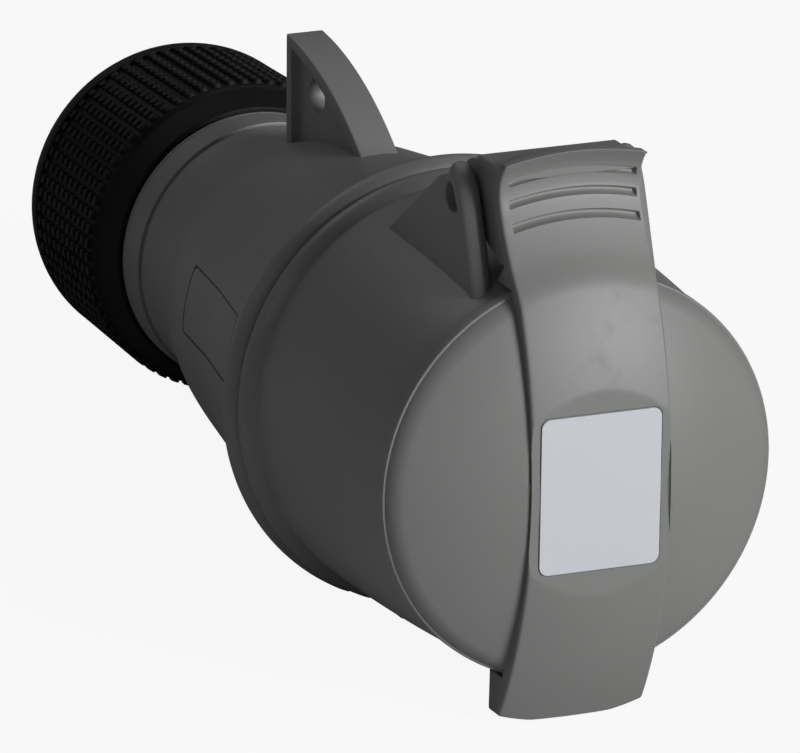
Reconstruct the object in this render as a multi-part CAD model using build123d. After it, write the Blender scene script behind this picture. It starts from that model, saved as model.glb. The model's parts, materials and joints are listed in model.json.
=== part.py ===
from build123d import *
from copy import copy
from math import asin, atan2, cos, degrees, pi, radians, sin, sqrt
import os

# Industrial cable connector for three phases and earth, 32 A size: a round socket with a sprung
# hinged lid, a bell-shaped handle with a hanging lug, and a knurled cable gland.
#
# Modelling frame, in millimetres: the coupler's axis is Y, the lid faces -Y, the cable leaves
# along +Y and the hinge is at +Z. The origin is the centre of the lid's rim. Turned profiles are
# drawn with x as the radius and y along the axis. The last step tips the finished pieces until
# they rest on the lid's tail and the gland nut, as the real coupler lies on a bench.

# Clearances
slip = 0.3  # between pieces that only face each other
running = 0.06  # radial, between the lid's bores and the hinge pin
drive = 0.02  # radial, between the ears' bores and the hinge pin
seam_gap = 0.1  # between the two housings' flanges
snug = 0.15  # between a piece and the pocket that locates it

# Front housing
body_radius = 41.6
swell_radius = body_radius - 0.9  # half way along the curved front of the body
mouth_radius = body_radius - 2.7
shroud_wall = 3.5
shroud_radius = mouth_radius - shroud_wall
shroud_depth = 38.5
sleeve_wall = 2.7
sleeve_bore = body_radius - sleeve_wall
parting_y = shroud_depth + 23.7  # between the two housings, in the groove between the beads
body_swell_y = parting_y - 15.2  # where the body reaches its full radius
flange_height = 3.3
flange_radius = body_radius + flange_height
bead_width = 4.7
bead_seam = 1.1  # depth of the groove between the beads
bead_root = 2.4  # height of the beads above the skin beside them
flange_flat = body_radius - 1.2  # flat on the flanges' underside, below the axis
keyway_half_width = 4.2
keyway_depth = 2.2
pad_radius = body_radius + 1.0
pad_half_width = 17.0
pad_front = parting_y - 21.2

# Lid
rim_radius = mouth_radius + 0.8  # cylinder that the dome's shoulder would run into
crown_radius = 80.0
shoulder_radius = 6.0
shoulder_y = 2.52  # centre line of the shoulder's round, behind the rim, to the nearest 0.01
shoulder_x = rim_radius - shoulder_radius
crown_lead = sqrt((crown_radius - shoulder_radius) ** 2 - shoulder_x ** 2)  # between the two centres
crown_front = round(shoulder_y + crown_lead - crown_radius, 2)
lid_wall = 2.4
strap_half_width = 14.2
tail_half_width = strap_half_width + 0.4
grip_half_width = strap_half_width + 1.0
grip_wall = 3.0
strap_front = crown_front - 1.0
strap_crown_radius = 92.0
label_plane = strap_front + 2.2  # the flat cut across the strap
grip_start = rim_radius - 1.7  # radius at which the strap's crown ends and the grip sweeps back
grip_sweep = ((6.6, 0.2), (12.4, 3.5), (17.6, 5.6), (21.4, 5.2))  # beyond that radius, and along the axis
grip_face = [(grip_start + rise, y) for rise, y in grip_sweep]
lip_radius = grip_start + 24.7  # top of the finger grip, from the coupler's axis
lip_front = 3.0
lip_back = 5.6
deck_top = lip_radius - 3.0  # flat deck between the grip and the hinge, above the axis
deck_thickness = 2.4
deck_half_width = strap_half_width - 0.1
deck_back = 16.8
tail_reach = rim_radius + 8.4  # radius of the tail's lower edge
tail_foot = tail_reach - 0.8  # narrow flat in that edge, below the axis, on which the coupler rests
tail_back = 5.7
groove_radii = (lip_radius - 4.3, lip_radius - 7.8, lip_radius - 12.4)  # three finger grooves
groove_faces = (5.3, 5.6, 3.4)  # how far back the grip's face lies at each groove
groove_half_width = 0.5
groove_depth = 0.7
groove_from = -12.4
groove_to = 13.2

# Lid gasket
gasket_inner = shroud_radius + 0.2
gasket_width = 1.6
gasket_depth = 1.6

# Label
label_half_width = 12.2
label_low = -14.8
label_high = 15.6
label_corner = 1.8
label_thickness = 0.6
label_recess = 0.4

# Hinge
pin_radius = 2.0
hinge_y = 17.8
hinge_z = body_radius + 10.0
ear_inner = 14.4
ear_thickness = 4.2
ear_foot = (55.0, body_radius - 6.4)  # where the ear's sloping back edge runs into the body, in side view
bead_radius = 2.3
bead_start = (7.5, body_radius - 8.1)  # foot, bend and top of the bead's centre line, in side view
bead_bend = (15.6, hinge_z + 1.6)
bead_top = (20.9, hinge_z + 5.0)
ear_crown = (23.1, hinge_z + 3.6)  # where the ear's back edge begins to slope down
pin_sink = 1.6  # how far the pin's ends lie inside the ears
pin_sink_radius = 3.0
knuckle_outer = ear_inner - slip
knuckle_thickness = 3.8
knuckle_radius = 6.8
knuckle_foot = (6.6, body_radius - 0.2)  # lowest corner of the knuckle's plate, in side view
knuckle_notch = (11.4, body_radius + 2.0)
spring_wire_radius = 0.65
spring_coil_radius = 3.5
spring_turns = 5
spring_pitch = 2.2
spring_lean = 2.0  # how far the high leg leans forward on its way up to the deck
spring_overlap = 0.3  # how far each leg starts inside the coil's end

# Contact carrier and contacts
carrier_radius = 28.5
carrier_front = 2.0
carrier_edge = 0.8
carrier_flange_thickness = 3.6
carrier_block_radius = 25.0
carrier_back = shroud_depth + 17.5
contact_circle = 15.8
phase_pin_radius = 3.0
earth_pin_radius = 4.0
contact_play = 0.12  # radial, round the plug's pins
contact_wall = 2.1
entry_play = 0.55  # radial, at the carrier's mouth round each pin
contact_front = 6.0
contact_depth = 27.0
contact_slot = 0.9
contact_back = carrier_back - 1.0
wire_radius = 2.4
clip_y = 11.0
clip_width = 2.4
clip_thickness = 0.7
screw_y = shroud_depth + 8.5
screw_radius = 2.0
screw_head_radius = 3.3
screw_head_height = 2.4
plate_thickness = 2.4
plate_screw_circle = 20.4
plate_screw_radius = 1.4
plate_screw_length = 24.0
plate_screw_angles = (45, 225)

# Housing seal
seal_section = 1.3
seal_y = parting_y - 8.2

# Rear housing
neck_radius = 27.0
collar_radius = neck_radius + 0.6
handle_length = 87.4  # from the parting line to the collar
collar_front = parting_y + handle_length
collar_back = collar_front + 8.0
shell_wall = 2.8
sleeve_inner = sleeve_bore - 4.7
spigot_radius = collar_radius - 2.9
spigot_back = collar_back + 20.4
throat_radius = 17.0
throat_y = collar_back + 2.4
throat_lead = 4.0  # straight length in front of the claw's seat
# The bell's skin from the flange to the neck: how far along its length, and how wide on the way from
# the neck to the body. The hollow inside runs from the sleeve to the neck in the same way.
bell_start = parting_y + 3.8
bell_length = handle_length - 9.4
bell_along = (0.0, 0.18, 0.333, 0.487, 0.59, 0.692, 0.833, 1.0)
bell_wide = (1.055, 0.849, 0.678, 0.555, 0.473, 0.370, 0.164, 0.014)
hollow_along = (0.0, 0.18, 0.385, 0.59, 0.744, 0.897)
hollow_wide = (1.0, 0.68, 0.50, 0.28, 0.14, 0.0)
gland_bore = 20.2

# Hanging lug
lug_half_width = 4.0
lug_web_half = 2.2
lug_back = collar_front - 18.0
lug_top = neck_radius + 24.1
lug_middle = (lug_back - 19.6, lug_top - 4.6)
lug_front = lug_back - 38.4
lug_front_z = lug_top - 15.5
lug_border = 2.6
lug_hole_y = lug_back - 11.6
lug_hole_z = lug_top - 9.5
lug_hole_radius = 3.6

# Locking latch
latch_angle = 169.0  # degrees about the axis, from +X towards +Z
latch_front = parting_y + 10.8
latch_back = latch_front + 37.0
latch_half_width = 6.6
latch_thickness = 2.2
latch_travel = 1.6
latch_nose_half = 2.6
latch_nose_low = body_radius - 2.0
latch_nose_high = body_radius + 0.4
latch_nose_front = parting_y - 2.4
latch_spring_room = 0.9
latch_spring_thickness = 0.5

# Gland
nut_front = collar_back + 0.4
nut_face_radius = 28.4
nut_band_y = nut_front + 5.6
nut_band_radius = 30.6
knurl_front = nut_band_y + 0.8
knurl_back = knurl_front + 31.6
knurl_front_radius = 32.2
knurl_back_radius = 31.5
nut_rim_y = knurl_back + 1.6
nut_nose_radius = 29.0
nut_nose_y = nut_rim_y + 6.0
nut_back = nut_nose_y + 1.4
nut_mouth_radius = 14.5
nut_wall_y = spigot_back + 12.0  # inner face of the nut's rear wall
nut_flutes = 68
flute_depth = 0.8
flute_half_width = 0.62
thread_play = 0.3
thrust_thickness = 3.0
thrust_inner = 14.6
thrust_outer = 21.6
claw_inner = 14.0
claw_ring_length = 8.0
claw_finger_root = 18.2
claw_finger_tip = 16.6
claw_fingers = 8
claw_slot = 2.2
claw_back = nut_wall_y - 4.0
grommet_outer = 13.7
grommet_bore = 8.0
grommet_front = throat_y + 0.4
grommet_back = claw_back - 1.5


def turned(points):
    """Solid of revolution about the axis from corners given as radius and distance along it."""
    return revolve(make_face(Polyline(*points, close=True)), Axis.Y)


def drum(radius, y_from, y_to):
    """Plain cylinder along the axis."""
    return turned([(0, y_from), (radius, y_from), (radius, y_to), (0, y_to)])


def washer(inner, outer, y_from, y_to):
    """Plain ring along the axis."""
    return turned([(inner, y_from), (outer, y_from), (outer, y_to), (inner, y_to)])


def block(x_from, x_to, y_from, y_to, z_from, z_to):
    """Box between two corners."""
    size = (x_to - x_from, y_to - y_from, z_to - z_from)
    return Pos((x_from + x_to) / 2, (y_from + y_to) / 2, (z_from + z_to) / 2) * Box(*size)


def side_plate(face, x_from, x_to):
    """Plate across X from a face drawn in side view, with y along the axis and z up."""
    return Pos(x_from, 0, 0) * extrude(Plane.YZ * face, x_to - x_from, dir=(1, 0, 0))


def front_plate(face, y_from, y_to):
    """Plate along the axis from a face drawn in front view, with x across and z up."""
    upright = Plane(origin=(0, 0, 0), x_dir=(1, 0, 0), z_dir=(0, -1, 0))
    return Pos(0, y_from, 0) * extrude(upright * face, y_to - y_from, dir=(0, 1, 0))


def rod(radius, start, end):
    """Round bar between two points."""
    along = Vector(*end) - Vector(*start)
    plane = Plane(origin=start, z_dir=along.normalized())
    return extrude(plane * Circle(radius), along.length)


def on_circle(radius, angle, y=0.0):
    """Point at a radius and an angle in degrees from +X towards +Z."""
    return (radius * cos(radians(angle)), y, radius * sin(radians(angle)))


def turn(shape, angle):
    """Shape turned about the coupler's axis, in degrees from +X towards +Z."""
    return shape.rotate(Axis.Y, -angle)


# Hinged lid

def dome(inset):
    """Solid under the dome's skin, in front of the rim, with the skin moved in by inset."""
    crown = crown_radius - inset
    shoulder = shoulder_radius - inset
    centre_y = crown_front + crown_radius
    round_y = centre_y - crown_lead
    lean = atan2(shoulder_x, crown_lead)
    rim_lean = pi / 2 - asin(round_y / shoulder)
    rim_x = shoulder_x + shoulder * sin(rim_lean)
    half = (lean + rim_lean) / 2
    front = (0, centre_y - crown)
    crown_mid = (crown * sin(lean / 2), centre_y - crown * cos(lean / 2))
    seam = (crown * sin(lean), centre_y - crown * cos(lean))
    shoulder_mid = (shoulder_x + shoulder * sin(half), round_y - shoulder * cos(half))
    profile = [
        ThreePointArc(front, crown_mid, seam),
        ThreePointArc(seam, shoulder_mid, (rim_x, 0)),
        Polyline((rim_x, 0), (0, 0), front),
    ]
    return revolve(make_face(profile), Axis.Y)


def strap_y(radius):
    """Where the crowned face of the strap lies along the axis, at a radius."""
    return strap_front + strap_crown_radius - sqrt(strap_crown_radius ** 2 - radius ** 2)


def strap_outline(outline):
    """Everything behind the strap's front, inside an outline seen from the front."""
    return front_plate(make_face(outline), strap_front - 1, deck_back)


def grip():
    """Upper half of the strap, with the swept-back finger grip."""
    start = (grip_start, strap_y(grip_start))
    middle = (grip_start / 2, strap_y(grip_start / 2))
    face = [start, *grip_face, (lip_radius, lip_front)]
    back = [(radius, y + grip_wall) for radius, y in face[1:5]]
    root = mouth_radius + 1.5
    profile = [
        ThreePointArc((0, strap_front), middle, start),
        Spline(*face, tangents=[(1, 0.45), (0.8, -0.6)]),
        Polyline(face[-1], (lip_radius, lip_back), *reversed(back), (root, knuckle_foot[0]),
                 (root, 0), (0, 0), (0, strap_front)),
    ]
    wide_z = grip_face[1][0]
    half = [(strap_half_width, 0), (strap_half_width, grip_start), (grip_half_width, wide_z),
            (grip_half_width, lip_radius + 5)]
    outline = Polyline(*[(-x, z) for x, z in half], *reversed(half), close=True)
    return revolve(make_face(profile), Axis.Y) & strap_outline(outline)


def deck():
    """Flat plate from the grip's back to the hinge."""
    front = grip_face[2][1]
    return block(-deck_half_width, deck_half_width, front, deck_back, deck_top - deck_thickness, deck_top)


def tail():
    """Lower half of the strap, down to the tail that hangs below the rim."""
    end = (tail_reach, strap_y(tail_reach))
    middle = (end[0] / 2, strap_y(end[0] / 2))
    clear = mouth_radius + 1.5
    profile = [
        ThreePointArc((0, strap_front), middle, end),
        Polyline(end, (end[0], tail_back), (clear, tail_back), (clear, 0), (0, 0), (0, strap_front)),
    ]
    outline = Polyline((-strap_half_width, 0), (-tail_half_width, -tail_foot), (tail_half_width, -tail_foot),
                       (strap_half_width, 0), close=True)
    return revolve(make_face(profile), Axis.Y) & strap_outline(outline)


def knuckle(x_from, x_to):
    """Hinge knuckle of the lid, a plate from the back of the grip to the boss round the pin."""
    under_deck = deck_top - 0.4
    outline = Polyline((1.2, knuckle_foot[1]), knuckle_foot, knuckle_notch,
                       (hinge_y - 3.0, hinge_z - knuckle_radius + 0.4), (hinge_y, hinge_z),
                       (hinge_y, hinge_z + knuckle_radius - 0.2), (deck_back - 1, under_deck),
                       (grip_face[2][1] + 1, under_deck), (grip_face[1][1] + 1, grip_face[1][0]), close=True)
    boss = rod(knuckle_radius, (x_from, hinge_y, hinge_z), (x_to, hinge_y, hinge_z))
    return side_plate(make_face(outline), x_from, x_to) + boss


def label_outline(grow, y_from, y_to):
    """Rounded rectangle of the label, grown all round."""
    width = 2 * (label_half_width + grow)
    height = label_high - label_low + 2 * grow
    middle = (label_high + label_low) / 2
    return front_plate(Pos(0, middle) * RectangleRounded(width, height, label_corner + grow), y_from, y_to)


def make_lid():
    """Dome, strap, grip, tail and hinge knuckles, moulded as one piece."""
    knuckle_in = knuckle_outer - knuckle_thickness
    lid = dome(0) + grip() + deck() + tail()
    lid += knuckle(-knuckle_outer, -knuckle_in) + knuckle(knuckle_in, knuckle_outer)
    bore = pin_radius + running
    lid -= rod(bore, (-strap_half_width - 1, hinge_y, hinge_z), (strap_half_width + 1, hinge_y, hinge_z))
    # The dome is a shell with a thicker rim, which carries the gasket in a groove.
    lid -= dome(lid_wall) & drum(gasket_inner - 1.4, crown_front, 1)
    lid -= washer(gasket_inner - snug, gasket_inner + gasket_width + snug, -gasket_depth, 0.1)
    # The label's flat with its shallow recess, and the finger grooves.
    flat_half = lip_radius / 2
    lid -= block(-flat_half, flat_half, strap_front - 1, label_plane, -flat_half, flat_half)
    lid -= label_outline(snug, label_plane - 1, label_plane + label_recess)
    for radius, face_y in zip(groove_radii, groove_faces):
        front, floor = crown_front / 2, face_y + groove_depth
        groove = washer(radius - groove_half_width, radius + groove_half_width, front, floor)
        lid -= groove & block(groove_from, groove_to, front, floor, grip_start, lip_radius)
    return lid


def make_label():
    """Thin rating plate lying in the strap's recess."""
    back = label_plane + label_recess
    return label_outline(0, back - label_thickness, back)


def make_gasket():
    """Flat sealing ring held in the lid's rim, pressing on the mouth of the housing."""
    return washer(gasket_inner, gasket_inner + gasket_width, -gasket_depth, slip)


def make_hinge_pin():
    """Plain steel pin through both ears and both knuckles."""
    half = ear_inner + ear_thickness - pin_sink
    pin = rod(pin_radius, (-half, hinge_y, hinge_z), (half, hinge_y, hinge_z))
    return chamfer(pin.edges().filter_by(GeomType.CIRCLE), 0.4)


def make_lid_spring():
    """Torsion spring round the hinge pin, with one leg under the deck and one on the housing."""
    height = spring_turns * spring_pitch
    helix = Helix(spring_pitch, height, spring_coil_radius)
    section = Plane(origin=helix @ 0, z_dir=helix % 0) * Circle(spring_wire_radius)
    coil = sweep(section, path=helix, is_frenet=True)
    lie_across = Plane(origin=(-height / 2, hinge_y, hinge_z), x_dir=(0, 1, 0), z_dir=(1, 0, 0))
    coil = lie_across * coil
    # The low leg stands on the housing. The high leg bends under the deck.
    start_x, start_y = height / 2, hinge_y + spring_coil_radius
    low_end = (-start_x, start_y + 3.0, sqrt(swell_radius ** 2 - start_x ** 2) + slip)
    bend = (start_x, start_y - spring_lean, deck_top - deck_thickness - spring_wire_radius - slip)
    high_end = (start_x, deck_back - 4.0, bend[2])
    coil += rod(spring_wire_radius, (-start_x, start_y, hinge_z + spring_overlap), low_end)
    coil += rod(spring_wire_radius, (start_x, start_y, hinge_z - spring_overlap), bend)
    coil += Pos(*bend) * Sphere(spring_wire_radius)
    return coil + rod(spring_wire_radius, bend, high_end)


# Front housing

def flange_bead(y_near, y_far):
    """Rounded bead round the parting line, from its seam at y_near to its root at y_far."""
    root, seam = flange_radius - bead_root, flange_radius - bead_seam
    profile = [
        Line((sleeve_bore, y_near), (seam, y_near)),
        ThreePointArc((seam, y_near), (flange_radius, (y_near + y_far) / 2), (root, y_far)),
        Polyline((root, y_far), (sleeve_bore, y_far), (sleeve_bore, y_near)),
    ]
    return revolve(make_face(profile), Axis.Y)


def flange_cut():
    """Block that cuts the flat on the underside of both flanges."""
    reach, below = bead_width + 1, -flange_radius - 1
    return block(-body_radius, body_radius, parting_y - reach, parting_y + reach, below, -flange_flat)


def ear(side):
    """Hinge ear with a rounded bead along its front edge."""
    buried = ear_foot[1] - 5
    outline = Polyline(bead_start, bead_bend, bead_top, ear_crown, ear_foot,
                       (ear_foot[0], buried), (bead_start[0] + 2.5, buried), close=True)
    x_from, x_to = sorted((side * ear_inner, side * (ear_inner + ear_thickness)))
    plate = side_plate(make_face(outline), x_from, x_to)
    middle = side * (ear_inner + bead_radius)
    points = [(middle, *bead_start), (middle, *bead_bend), (middle, *bead_top)]
    bead = rod(bead_radius, points[0], points[1]) + rod(bead_radius, points[1], points[2])
    for point in points[1:]:
        bead += Pos(*point) * Sphere(bead_radius)
    return plate + bead


def make_front_housing():
    """Shroud with the hinge ears, the keyway and the front half of the flange."""
    core, seam_y = shroud_radius - 1, parting_y - seam_gap / 2
    profile = [
        Line((core, slip), (mouth_radius, slip)),
        ThreePointArc((mouth_radius, slip), (swell_radius, body_swell_y / 2), (body_radius, body_swell_y)),
        Polyline((body_radius, body_swell_y), (body_radius, seam_y), (core, seam_y), (core, slip)),
    ]
    housing = revolve(make_face(profile), Axis.Y)
    housing += flange_bead(seam_y, parting_y - bead_width)
    pad = drum(pad_radius, pad_front, parting_y - bead_width / 2)
    housing += pad & block(-pad_half_width, pad_half_width, 0, parting_y, -pad_radius, -shroud_radius)
    housing += ear(-1) + ear(1)
    housing -= flange_cut()
    # Room inside for the plug's collar, the contact carrier and the rear housing's sleeve.
    housing -= drum(shroud_radius, -1, shroud_depth)
    housing -= drum(sleeve_bore, shroud_depth, parting_y + 1)
    key_reach = shroud_radius + keyway_depth
    housing -= block(-keyway_half_width, keyway_half_width, -1, shroud_depth, -key_reach, 0)
    # Hinge holes: a bore for the pin and a wider sink from outside.
    ear_outer = ear_inner + ear_thickness
    for side in (-1, 1):
        bore_end = side * (ear_outer + 2)
        housing -= rod(pin_radius + drive, (0, hinge_y, hinge_z), (bore_end, hinge_y, hinge_z))
        housing -= rod(pin_sink_radius, (side * (ear_outer - pin_sink), hinge_y, hinge_z),
                       (bore_end, hinge_y, hinge_z))
    housing -= latch_channel()
    return housing


# Rear housing

def handle_points(alongs, wides):
    """Radius and distance along the axis for shares of the handle's length and of its width."""
    return [(neck_radius + wide * (body_radius - neck_radius), bell_start + along * bell_length)
            for along, wide in zip(alongs, wides)]


def bell(inset):
    """Solid inside the bell-shaped skin, from the flange to the neck, with the skin moved in by inset."""
    points = [(radius - inset, y) for radius, y in handle_points(bell_along, bell_wide)]
    neck = neck_radius - inset
    profile = [
        Spline(*points, tangents=[(-0.22, 1), (-0.05, 1)]),
        Polyline(points[-1], (neck, collar_front), (neck, collar_front + 1), (0, collar_front + 1),
                 (0, parting_y), (points[0][0], parting_y), points[0]),
    ]
    return revolve(make_face(profile), Axis.Y)


def lug():
    """Hanging lug on top of the handle: a pierced web inside a curved border."""
    foot = neck_radius - shell_wall / 2

    def outline(border):
        top = (lug_back - border, lug_top - border * 0.9)
        front = (lug_front + border * 1.1, lug_front_z - border * 0.2)
        middle = (lug_middle[0] + border * 0.45, lug_middle[1] - border)
        edges = [
            ThreePointArc(top, middle, front),
            Polyline(front, (front[0], foot), (top[0] - 0.6, foot), top),
        ]
        return make_face(edges)

    solid = side_plate(outline(0), -lug_half_width, lug_half_width)
    window = outline(lug_border)
    for side in (-1, 1):
        x_from, x_to = sorted((side * lug_web_half, side * (lug_half_width + 1)))
        solid -= side_plate(window, x_from, x_to)
    hole = rod(lug_hole_radius, (-lug_half_width - 1, lug_hole_y, lug_hole_z),
               (lug_half_width + 1, lug_hole_y, lug_hole_z))
    return solid - hole


def make_rear_housing():
    """Bell-shaped handle with the sleeve that enters the front housing and the gland's spigot."""
    shell = bell(0) + flange_bead(parting_y + seam_gap / 2, parting_y + bead_width)
    shell += drum(collar_radius, collar_front, collar_back)
    shell += drum(spigot_radius, collar_back, spigot_back)
    shell += drum(sleeve_bore - snug, carrier_seat(), parting_y + 1)
    shell += lug()
    shell -= flange_cut()
    walls = hollow_points()
    shell -= turned([(0, carrier_seat() - 1), (sleeve_inner, carrier_seat() - 1), *walls,
                     (walls[-1][0], collar_front), (throat_radius, throat_y - throat_lead),
                     (throat_radius, throat_y), (gland_bore, throat_y), (gland_bore, spigot_back + 1),
                     (0, spigot_back + 1)])
    groove_floor = sleeve_bore - 2 * seal_section
    shell -= washer(groove_floor, sleeve_bore + 1, seal_y - seal_section - 0.1, seal_y + seal_section + 0.1)
    return shell - latch_pocket() - latch_channel()


def hollow_points():
    """The hollow inside the bell, from the sleeve to the neck."""
    throat = neck_radius - shell_wall
    return [(throat + wide * (sleeve_inner - throat), bell_start + along * bell_length)
            for along, wide in zip(hollow_along, hollow_wide)]


def carrier_seat():
    """Where the carrier's flange ends and the rear housing's sleeve begins."""
    return shroud_depth + carrier_flange_thickness


def make_housing_seal():
    """Round-section rubber ring between the two housings."""
    section = Pos(sleeve_bore - seal_section - 0.03, seal_y) * Circle(seal_section - 0.03)
    return revolve(section, Axis.Y)


# Locking latch, drawn at +X and turned to its place

def latch_window(grow):
    """Block round the latch's plate, grown all round."""
    half = latch_half_width + grow
    return block(neck_radius - 7, body_radius + 10, latch_front - grow, latch_back + grow, -half, half)


def latch_pocket():
    """Room in the handle for the latch, its spring and its travel."""
    room = latch_thickness + latch_travel + latch_spring_room
    return turn((bell(-2) - bell(room)) & latch_window(slip), latch_angle)


def latch_channel():
    """Slot through both flanges for the latch's nose."""
    half = latch_nose_half + slip
    low, high = latch_nose_low - latch_travel - slip, latch_nose_high + slip
    return turn(block(low, high, latch_nose_front - slip, latch_front + 1, -half, half), latch_angle)


def make_latch():
    """Press latch that follows the bell's skin, with a nose that locks the two housings."""
    plate = (bell(0) - bell(latch_thickness)) & latch_window(0)
    nose = block(latch_nose_low, latch_nose_high, latch_nose_front, latch_front + 3,
                 -latch_nose_half, latch_nose_half)
    nose -= bell(-9) - bell(0)
    return turn(plate + (nose & drum(flange_radius, 0, latch_back)), latch_angle)


def make_latch_spring():
    """Bowed steel strip between the pocket's floor and the latch."""
    y_low, y_high = latch_front + 4.0, latch_back - 3.0
    y_mid = (y_low + y_high) / 2
    room = latch_thickness + latch_travel + latch_spring_room - slip
    foot = [(bell_at(y) - room, y) for y in (y_low, y_high)]
    crest = (bell_at(y_mid) - latch_thickness - slip - latch_spring_thickness, y_mid)
    outer = [(radius + latch_spring_thickness, y) for radius, y in (foot[0], crest, foot[1])]
    edges = [
        ThreePointArc(foot[0], crest, foot[1]),
        Line(foot[1], outer[2]),
        ThreePointArc(*reversed(outer)),
        Line(outer[0], foot[0]),
    ]
    return turn(extrude(make_face(edges), 2.5, both=True), latch_angle)


def bell_at(y):
    """Radius of the bell's skin near the latch, on a straight line between its drawn points."""
    points = handle_points(bell_along, bell_wide)
    for near, far in zip(points, points[1:]):
        if y <= far[1]:
            return near[0] + (y - near[1]) / (far[1] - near[1]) * (far[0] - near[0])
    return neck_radius


# Contact carrier and what it holds

def contact_outer(pin):
    """Outer radius of the contact sleeve for a plug pin of this radius."""
    return pin + contact_play + contact_wall


def chamber_radius(pin):
    """Radius of the carrier's chamber, with room for the spring clip round the sleeve."""
    return contact_outer(pin) + clip_thickness + 0.25


contact_places = [
    ("earth_contact", earth_pin_radius, 90),
    ("phase_contact_1", phase_pin_radius, 180),
    ("phase_contact_2", phase_pin_radius, 270),
    ("phase_contact_3", phase_pin_radius, 0),
]


def at_contact(shape, angle):
    """Shape drawn on the axis with its screw towards +X, moved to its place on the contact circle."""
    return turn(Pos(contact_circle, 0, 0) * shape, angle)


def contact_chambers(y_from, y_to):
    """The four chambers' bores over a length of the axis."""
    first, *others = [at_contact(drum(chamber_radius(pin), y_from, y_to), angle)
                      for name, pin, angle in contact_places]
    return first + others


def plate_screw_holes(y_from, y_to):
    """Holes for the long screws over a length of the axis."""
    hole = drum(plate_screw_radius + snug, y_from, y_to)
    places = [on_circle(plate_screw_circle, angle) for angle in plate_screw_angles]
    return Pos(*places[0]) * hole + Pos(*places[1]) * hole


def make_face_plate():
    """Front disc of the insert, with an entry for each pin of the plug."""
    plate = turned([(0, carrier_front), (carrier_radius - carrier_edge, carrier_front),
                    (carrier_radius, carrier_front + carrier_edge), (carrier_radius, contact_front),
                    (0, contact_front)])
    for name, pin, angle in contact_places:
        plate -= at_contact(drum(pin + entry_play, carrier_front - 1, contact_front + 1), angle)
    return plate


def make_carrier():
    """Insulating block round the contacts' sleeves."""
    carrier = drum(carrier_radius, contact_front, shroud_depth)
    carrier -= contact_chambers(contact_front - 1, shroud_depth + 1)
    return carrier - plate_screw_holes(screw_tip_y() - 1, shroud_depth + 1)


def make_terminal_block():
    """Insulating block with the screw terminals in it and the flange held between the housings."""
    cover = drum(sleeve_bore - snug, shroud_depth, carrier_seat())
    cover += drum(carrier_block_radius, carrier_seat(), carrier_back)
    cover -= contact_chambers(shroud_depth - 1, carrier_back + 1)
    for name, pin, angle in contact_places:
        driver_way = rod(screw_head_radius + snug, (0, screw_y, 0), (carrier_block_radius, screw_y, 0))
        cover -= at_contact(driver_way, angle)
    return cover - plate_screw_holes(shroud_depth - 1, carrier_back + 1)


def screw_tip_y():
    """Where the long screws end, inside the contact carrier."""
    return carrier_back + plate_thickness - plate_screw_length


def make_contact(pin, angle):
    """Slotted brass receptacle with a screw terminal behind it."""
    inner = pin + contact_play
    outer = contact_outer(pin)
    collar = chamber_radius(pin) - 0.05
    collar_y = contact_front + contact_depth
    body = turned([(inner, contact_front + 0.5), (inner + 0.5, contact_front), (outer - 0.4, contact_front),
                   (outer, contact_front + 0.4), (outer, collar_y - 1.5), (collar, collar_y),
                   (collar, contact_back), (wire_radius, contact_back), (wire_radius, contact_back - 13),
                   (0, contact_back - 13), (0, collar_y - 2), (inner, collar_y - 2)])
    slot_end = collar_y - 6
    body -= block(-outer - 1, outer + 1, contact_front - 1, slot_end, -contact_slot / 2, contact_slot / 2)
    body -= block(-contact_slot / 2, contact_slot / 2, contact_front - 1, slot_end, -outer - 1, outer + 1)
    body -= rod(screw_radius + 0.05, (0, screw_y, 0), (collar + 1, screw_y, 0))
    return at_contact(body, angle)


def make_clip(pin, angle):
    """Open spring ring that closes the contact's slotted sleeve on the plug's pin."""
    inner = contact_outer(pin) + 0.03
    ring = washer(inner, inner + clip_thickness, clip_y - clip_width / 2, clip_y + clip_width / 2)
    ring -= block(0, inner + 2, clip_y - clip_width, clip_y + clip_width, -1.0, 1.0)
    return at_contact(turn(ring, 45), angle)


def make_terminal_screw(pin, angle):
    """Slotted screw that clamps the wire, seen through the carrier's side."""
    seat = chamber_radius(pin) - 0.05
    tip = wire_radius - 1.2
    screw = rod(screw_radius, (tip, screw_y, 0), (seat + 0.2, screw_y, 0))
    screw += rod(screw_head_radius, (seat + 0.05, screw_y, 0), (seat + screw_head_height, screw_y, 0))
    top = seat + screw_head_height
    screw -= block(top - 1.0, top + 1, screw_y - 0.4, screw_y + 0.4, -5, 5)
    return at_contact(screw, angle)


def make_retaining_plate():
    """Disc screwed to the back of the carrier that keeps the contacts in their chambers."""
    plate = drum(carrier_block_radius - 0.5, carrier_back, carrier_back + plate_thickness)
    for name, pin, angle in contact_places:
        wire_hole = drum(wire_radius + 1.2, carrier_back - 1, carrier_back + plate_thickness + 1)
        plate -= at_contact(wire_hole, angle)
    return plate - plate_screw_holes(carrier_back - 1, carrier_back + plate_thickness + 1)


def make_plate_screw(angle):
    """Long pan-head screw through the retaining plate and the terminal block into the carrier."""
    seat = carrier_back + plate_thickness
    head = 2 * plate_screw_radius
    screw = turned([(0, screw_tip_y()), (plate_screw_radius, screw_tip_y() + 1), (plate_screw_radius, seat),
                    (head, seat), (head, seat + 1.3), (plate_screw_radius, seat + 1.8), (0, seat + 1.8)])
    for size in ((0.35, 2.0), (2.0, 0.35)):
        screw -= block(-size[0], size[0], seat + 0.8, seat + 3, -size[1], size[1])
    place = on_circle(plate_screw_circle, angle)
    return Pos(place[0], 0, place[2]) * screw


# Cable gland

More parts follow.
